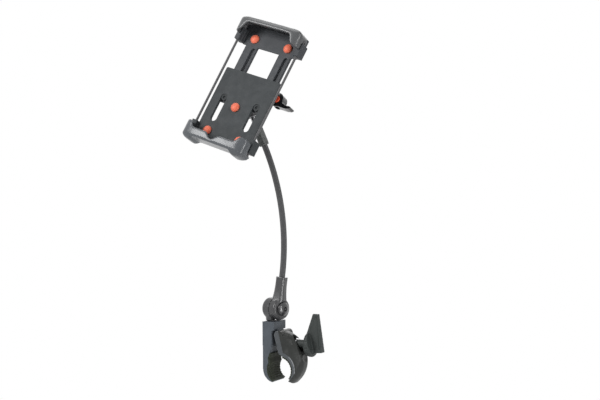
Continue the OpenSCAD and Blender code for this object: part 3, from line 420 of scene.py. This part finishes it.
def lathe(name, profile, origin, axis, segments=72):
    """Turns a profile of (radius, distance along the axis) into a closed piece."""
    first = axis.orthogonal().normalized()
    second = axis.cross(first)
    verts = []
    for radius, along in profile:
        for k in range(segments):
            turn = 2 * math.pi * k / segments
            out = first * math.cos(turn) + second * math.sin(turn)
            verts.append(origin + axis * along + out * radius)
    return closed_tube(name, verts, len(profile), segments)


def joined(pieces):
    """Several closed pieces as one object, for a remesh that melts them together."""
    work = bmesh.new()
    for piece in pieces:
        work.from_mesh(piece.data)
    work.to_mesh(pieces[0].data)
    work.free()
    for piece in pieces[1:]:
        bpy.data.objects.remove(piece)
    return pieces[0]


def applied(piece):
    """Works the modifiers of a piece into its mesh."""
    graph = bpy.context.evaluated_depsgraph_get()
    mesh = bpy.data.meshes.new_from_object(piece.evaluated_get(graph))
    piece.modifiers.clear()
    old = piece.data
    piece.data = mesh
    bpy.data.meshes.remove(old)


def remeshed(piece, voxel):
    remesh = piece.modifiers.new("remesh", "REMESH")
    remesh.mode = "VOXEL"
    remesh.voxel_size = voxel
    applied(piece)


def smoothed(piece, rounds):
    smooth = piece.modifiers.new("smooth", "SMOOTH")
    smooth.factor = 0.5
    smooth.iterations = rounds
    applied(piece)


# Vertices of a CAD node that are nearer than this are one
WELD = 0.002 * MM


def softened(node, voxel, rounds, reshape=None, square=None):
    """The node again with the rounded edges and soft transitions of a moulding.

    The function reshape moves its vertices before they are smoothed. The matrix square turns it
    so that its flat faces lie along the grid of the remesh.
    """
    work = bmesh.new()
    work.from_mesh(nodes[node].data)
    bmesh.ops.remove_doubles(work, verts=work.verts, dist=WELD)
    mesh = bpy.data.meshes.new(node + "_soft")
    work.to_mesh(mesh)
    work.free()
    piece = bpy.data.objects.new(node + "_soft", mesh)
    bpy.context.scene.collection.objects.link(piece)
    if square:
        piece.data.transform(square)
    remeshed(piece, voxel)
    if square:
        piece.data.transform(square.inverted())
    if reshape:
        for vertex in piece.data.vertices:
            reshape(vertex)
    smoothed(piece, rounds)
    finish_piece(piece, node)
    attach(piece, body_of[node])
    return piece


# Cradle directions, from its joints: up along it, out of the plate's front, and across to the right
cradle_up = joint_axis("frame_slide")
cradle_front = joint_axis("cradle_roll")
cradle_right = cradle_up.cross(cradle_front).normalized()
cradle_square = Matrix((cradle_right, -cradle_front, cradle_up)).to_4x4()

# Cradle origin: the middle bumper's place on the plate's front, set from the ball as in the solids
BALL_BACK = 26.6 * MM
BALL_UP = 8 * MM
cradle_origin = joint_place("head_tilt") + cradle_front * BALL_BACK - cradle_up * BALL_UP

# Holders: half width, how far the ends of the front fall back, and how far the corners round off
HOLDER_HALF = 45.2 * MM
END_FALL = 3.2 * MM
CORNER_ROUND = 4.0 * MM

# Holders: depth of the front, where the rounding starts away from the origin, and its length
LOW_FRONT, LOW_START, LOW_LENGTH = 20 * MM, 33.4 * MM, 22.7 * MM
TOP_FRONT, TOP_START, TOP_LENGTH = 17.5 * MM, 84 * MM, 22.8 * MM


def share(value):
    return min(1.0, max(0.0, value))


def crown(vertex, away, depth, start, length):
    """Lets the ends of a holder's front fall back and rounds its corners off, away from the
    origin in this direction."""
    offset = vertex.co - cradle_origin
    across = share(abs(offset.dot(cradle_right)) / HOLDER_HALF)
    front = share(offset.dot(cradle_front) / depth)
    far = share((offset.dot(away) - start) / length)
    vertex.co -= cradle_front * (END_FALL * across ** 4 * front ** 2)
    vertex.co -= away * (CORNER_ROUND * across ** 8 * far ** 2)


def crown_low(vertex):
    crown(vertex, -cradle_up, LOW_FRONT, LOW_START, LOW_LENGTH)


def crown_top(vertex):
    crown(vertex, cradle_up, TOP_FRONT, TOP_START, TOP_LENGTH)


# Moving jaw: a flat band along its inner edge, behind which the near and far faces slope away.
# The edge leaves the hinge this far inside it and leans out by the slope, down to the pad's circle.
HINGE = joint_place("jaw_swing")
EDGE_INSIDE = 4 * MM
EDGE_SLOPE = 0.30
PAD_SEAT = 16.2 * MM
BAND = 5.5 * MM
FLANK_SLOPE = 0.3
FLANK_MOST = 3.5 * MM
FLANK_HALF = 12 * MM

# Moving jaw: share of the band's width that is left at its foot, the width of the bright rim behind
# its lower part, which is a painted highlight line, and how squarely a face looks sideways to
# belong to the band. The band's faces are painted lighter, a painted sheen for a bevel that
# catches the light
BAND_FOOT = 0.65
HIGHLIGHT_RIM = 0.8 * MM
BAND_FACING = 0.6


def behind_edge(place):
    """How far a place on the moving jaw lies behind the jaw's inner edge."""
    edge = HINGE.x - EDGE_INSIDE + (HINGE.z - place.z) * EDGE_SLOPE
    return min(place.x - edge, math.hypot(place.x, place.z) - PAD_SEAT)


def slope_flank(vertex):
    y = vertex.co.y
    fall = min(FLANK_MOST, max(0.0, behind_edge(vertex.co) - BAND) * FLANK_SLOPE, abs(y))
    vertex.co.y -= math.copysign(fall * share(abs(y) / FLANK_HALF) ** 2, y)


def make_moving_jaw():
    piece = softened("moving_jaw", 0.5 * MM, 6, slope_flank)
    piece.data.materials.append(materials["jaw_band"])
    piece.data.materials.append(materials["jaw_rim"])
    # Faces of the band take a lighter material, a painted sheen, and a strip behind its lower part a bright one, a
    # painted highlight line
    for face in piece.data.polygons:
        width = BAND * (BAND_FOOT + (1 - BAND_FOOT) * share(face.center.z / HINGE.z))
        behind = behind_edge(face.center)
        if abs(face.normal.y) > BAND_FACING and behind < width:
            highlight_rim = face.center.z < PAD_SEAT and behind > width - HIGHLIGHT_RIM
            face.material_index = 2 if highlight_rim else 1


# Knuckle bolt: the head starts this far beyond the arm's drum, and its dome is this high
BOLT_RADIUS = 8 * MM
BOLT_SEAT = 0.8 * MM
BOLT_HEAD = 5 * MM
BOLT_DOME = 3.0 * MM


def dome_bolt(vertex):
    """Domes the head of the knuckle bolt, which the solid has flat."""
    axis = joint_axis("knuckle_tilt")
    offset = vertex.co - joint_place("knuckle_tilt")
    along = offset.dot(axis)
    out = (offset - axis * along).length
    height = share((along - ARM_END - BOLT_SEAT) / BOLT_HEAD)
    vertex.co -= axis * (BOLT_DOME * height * min(1.0, out / BOLT_RADIUS) ** 2)


# Sleeves: the round solids again with the flats of the real ones, which face along X and Y
SLEEVE_CHAMFER = math.radians(45)


def square_frame(axis):
    """Two directions across an axis, the first of them as near to X as it can be."""
    first = (Vector((1, 0, 0)) - axis * axis.x).normalized()
    return first, axis.cross(first)


def square_reach(turn, half, corner):
    """Distance from the axis to a square with cut corners, in a direction."""
    turn = (turn + math.pi / 4) % (math.pi / 2) - math.pi / 4
    return min(half / math.cos(turn), corner / math.cos(SLEEVE_CHAMFER - abs(turn)))


# Upper sleeve: the part of it below its mouth that is squared, half its width across the flats
# and across the corners, the length in which it becomes square, and the skin left round the neck
UPPER_START, UPPER_END = -1 * MM, 27 * MM
UPPER_HALF = 5.0 * MM
UPPER_CORNER = 5.7 * MM
UPPER_EASE = 6 * MM
UPPER_SKIN = 0.8 * MM


def make_upper_sleeve(mouth, axis):
    """Moves the outside of the sleeve onto a square section."""
    piece = softened("upper_sleeve", 0.35 * MM, 2)
    first, second = square_frame(axis)
    for vertex in piece.data.vertices:
        offset = vertex.co - mouth
        along = offset.dot(axis)
        across = offset - axis * along
        radius = across.length
        if not UPPER_START < along < UPPER_END or radius < NECK_RADIUS + UPPER_SKIN:
            continue
        part = min(1.0, (along - UPPER_START) / UPPER_EASE, (UPPER_END - along) / UPPER_EASE + 1)
        turn = math.atan2(across.dot(second), across.dot(first))
        target = square_reach(turn, UPPER_HALF, UPPER_CORNER)
        vertex.co += across * (part * (target / radius - 1))


# Arm: the outer drum of the knuckle, its two faces along the axis, and its rounded edges
KNUCKLE_RADIUS = 12.75 * MM
ARM_FACE, ARM_END = 4.1 * MM, 14.0 * MM
DRUM_EDGE = 0.5 * MM
DRUM_ROUND = 2.2 * MM
DRUM_SHOULDER = 0.7 * MM
DRUM_CORE = 0.1 * MM

# Arm: the square sleeve that flares into the drum, and keeps off the base drum and the bolt's head
LOW_SLEEVE = 33 * MM
FLARE_START = 5 * MM
FLARE = 3.0 * MM
SLEEVE_HALF = 5.7 * MM
CORNER_SHARE = 1.19
CORNER_LOSS = 0.1
BASE_CLEAR = 13.15 * MM
HEAD_CLEAR = 8.8 * MM
SLEEVE_SIDES, SLEEVE_RINGS = 64, 56


def kept_clear(point, pivot, knuckle):
    """A point of the sleeve, moved along the knuckle clear of the base drum and the bolt's head."""
    offset = point - pivot
    along = offset.dot(knuckle)
    out = (offset - knuckle * along).length
    if along < ARM_FACE and out < BASE_CLEAR:
        return point + knuckle * (ARM_FACE - along)
    if along > ARM_END and out < HEAD_CLEAR:
        return point + knuckle * (ARM_END - along)
    return point


def make_arm(mouth, axis):
    """The sleeve from its mouth down, melted into the drum."""
    pivot, knuckle = joint_place("knuckle_tilt"), joint_axis("knuckle_tilt")
    first, second = square_frame(axis)
    verts = []
    for i in range(SLEEVE_RINGS + 1):
        down = LOW_SLEEVE * i / SLEEVE_RINGS
        half = SLEEVE_HALF + FLARE * share((down - FLARE_START) / (LOW_SLEEVE - FLARE_START)) ** 2
        corner = half * (CORNER_SHARE - CORNER_LOSS * i / SLEEVE_RINGS)
        for k in range(SLEEVE_SIDES):
            turn = 2 * math.pi * k / SLEEVE_SIDES
            out = first * math.cos(turn) + second * math.sin(turn)
            point = mouth - axis * down + out * square_reach(turn, half, corner)
            verts.append(kept_clear(point, pivot, knuckle))
    sleeve = closed_tube("arm_knuckle_sleeve", verts, SLEEVE_RINGS + 1, SLEEVE_SIDES)
    drum = lathe("arm_drum", [
        (DRUM_CORE, ARM_FACE),
        (KNUCKLE_RADIUS - 0.8 * DRUM_EDGE, ARM_FACE),
        (KNUCKLE_RADIUS, ARM_FACE + DRUM_EDGE),
        (KNUCKLE_RADIUS, ARM_END - DRUM_ROUND),
        (KNUCKLE_RADIUS - DRUM_SHOULDER, ARM_END - DRUM_SHOULDER),
        (KNUCKLE_RADIUS - DRUM_ROUND, ARM_END),
        (DRUM_CORE, ARM_END),
    ], pivot, knuckle)
    piece = joined([sleeve, drum])
    remeshed(piece, 0.4 * MM)
    smoothed(piece, 9)
    finish_piece(piece, "arm_knuckle")
    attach(piece, "arm")


# Neck: a fluted cover over the bent rod, on the arc between the two sleeves, with a straight tail
# inside each of them
NECK_RADIUS = 3.5 * MM
NECK_LENGTH = 156 * MM
LEAN_LOW = math.radians(6.8)
LEAN_TOP = math.radians(22)
NECK_FLUTES = 6
NECK_FLUTE_DEPTH = 0.45 * MM
NECK_TAIL = 13 * MM
NECK_SIDES, NECK_STEPS = 72, 96


def neck_points(flank):
    """Place and side direction along the neck's middle line, from inside the lower sleeve up."""
    across = flank.cross(UP)
    radius = NECK_LENGTH / (LEAN_LOW + LEAN_TOP)

    def side(lean):
        return across * math.cos(lean) - UP * math.sin(lean)

    center = joint_place("neck_bend") - side((LEAN_LOW - LEAN_TOP) / 2) * radius
    points = []
    for i in range(NECK_STEPS + 1):
        lean = LEAN_LOW - (LEAN_LOW + LEAN_TOP) * i / NECK_STEPS
        points.append((center + side(lean) * radius, side(lean)))
    (first, first_side), (last, last_side) = points[0], points[-1]
    down = first_side.cross(flank)
    if down.z > 0:
        down = -down
    up = last_side.cross(flank)
    if up.z < 0:
        up = -up
    points.insert(0, (first + down * NECK_TAIL, first_side))
    points.append((last + up * NECK_TAIL, last_side))
    return points


def make_neck(points, flank):
    verts = []
    for place, side in points:
        for k in range(NECK_SIDES):
            turn = 2 * math.pi * k / NECK_SIDES
            dip = NECK_FLUTE_DEPTH * (1 - math.cos(NECK_FLUTES * turn)) / 2
            out = side * math.cos(turn) + flank * math.sin(turn)
            verts.append(place + out * (NECK_RADIUS - dip))
    piece = closed_tube("neck_cover", verts, len(points), NECK_SIDES)
    finish_piece(piece, "neck")
    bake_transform(piece)


# Elastic cords: a braid with a knot at each end
CORD_RADIUS = 1.5 * MM
CORD_SIDES, CORD_RINGS = 24, 330
BRAID_STRANDS = 8
BRAID_PITCH = 7 * MM
BRAID_DEPTH = 0.16 * MM

# Knots: how far the outer and the inner half lie inside the round knot, the least radius at the
# tip, and the waves that twist round the inner half
KNOT_RADIUS = 2.5 * MM
KNOT_OUTER = 0.12 * MM
KNOT_INNER = 0.35 * MM
KNOT_TIP = 0.1 * MM
TWIST_DEPTH = 0.07
TWIST_WAVES = 3
TWIST_RISE = 4


def braid_radius(turn, along, from_end):
    """Radius of an elastic cord in a direction, at a distance along it and from its nearer end."""
    knot = KNOT_RADIUS * math.sqrt(max(0.0, 1 - (from_end / KNOT_RADIUS - 1) ** 2))
    if from_end < KNOT_RADIUS:
        return max(knot - KNOT_OUTER, KNOT_TIP)
    phase = 4 * math.pi * along / BRAID_PITCH
    strands = BRAID_STRANDS / 2 * turn
    weave = math.sin(strands + phase) * math.sin(strands - phase)
    cord = CORD_RADIUS - BRAID_DEPTH * (0.5 + 0.5 * weave)
    twist = 1 + TWIST_DEPTH * math.sin(TWIST_WAVES * turn + from_end / KNOT_RADIUS * TWIST_RISE)
    return max(cord, (knot - KNOT_INNER) * twist)


def make_elastic(node):
    places = [vertex.co for vertex in nodes[node].data.vertices]
    along = [place.dot(cradle_up) for place in places]
    low, high = min(along), max(along)
    across = cradle_up.orthogonal().normalized()
    other = cradle_up.cross(across)
    # The middle of the cord's line, from the box of the solid set across the cradle's directions
    centre = Vector()
    for axis in (across, other):
        reach = [place.dot(axis) for place in places]
        centre += axis * (min(reach) + max(reach)) / 2
    verts = []
    for i in range(CORD_RINGS + 1):
        z = low + (high - low) * i / CORD_RINGS
        for k in range(CORD_SIDES):
            turn = 2 * math.pi * k / CORD_SIDES
            out = across * math.cos(turn) + other * math.sin(turn)
            radius = braid_radius(turn, z - low, min(z - low, high - z))
            verts.append(centre + cradle_up * z + out * radius)
    piece = closed_tube(node + "_braid", verts, CORD_RINGS + 1, CORD_SIDES)
    finish_piece(piece, node)
    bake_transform(piece)


make_camera()
make_world()
make_floor()
for name, light in LIGHTS.items():
    area_light(name, *light)
materials = make_materials()
dress_nodes()

neck_flank = joint_axis("neck_bend")
neck_line = neck_points(neck_flank)
low_mouth, top_mouth = neck_line[1][0], neck_line[-2][0]
low_axis = (low_mouth - neck_line[0][0]).normalized()
top_axis = (neck_line[-1][0] - top_mouth).normalized()

softened("lower_holder", 0.6 * MM, 50, crown_low)
softened("upper_holder", 0.6 * MM, 50, crown_top)
softened("fixed_jaw", 0.5 * MM, 5)
make_moving_jaw()
softened("wing_knob", 0.4 * MM, 3)
make_arm(low_mouth, low_axis)
softened("knuckle_bolt", 0.3 * MM, 4, dome_bolt)
sliding_frame = softened("sliding_frame", 0.5 * MM, 3, square=cradle_square)
# The frame takes the lighter copy of the plate's plastic, painted light against its shade
sliding_frame.data.materials[0] = materials["slider_plastic"]
softened("knuckle_base", 0.4 * MM, 3)
make_upper_sleeve(top_mouth, top_axis)
softened("ball_socket", 0.5 * MM, 3, square=cradle_square)
softened("cam_lever", 0.3 * MM, 6, square=cradle_square)
make_neck(neck_line, neck_flank)
make_elastic("elastic_left")
make_elastic("elastic_right")

bpy.context.scene.view_settings.view_transform = "Standard"
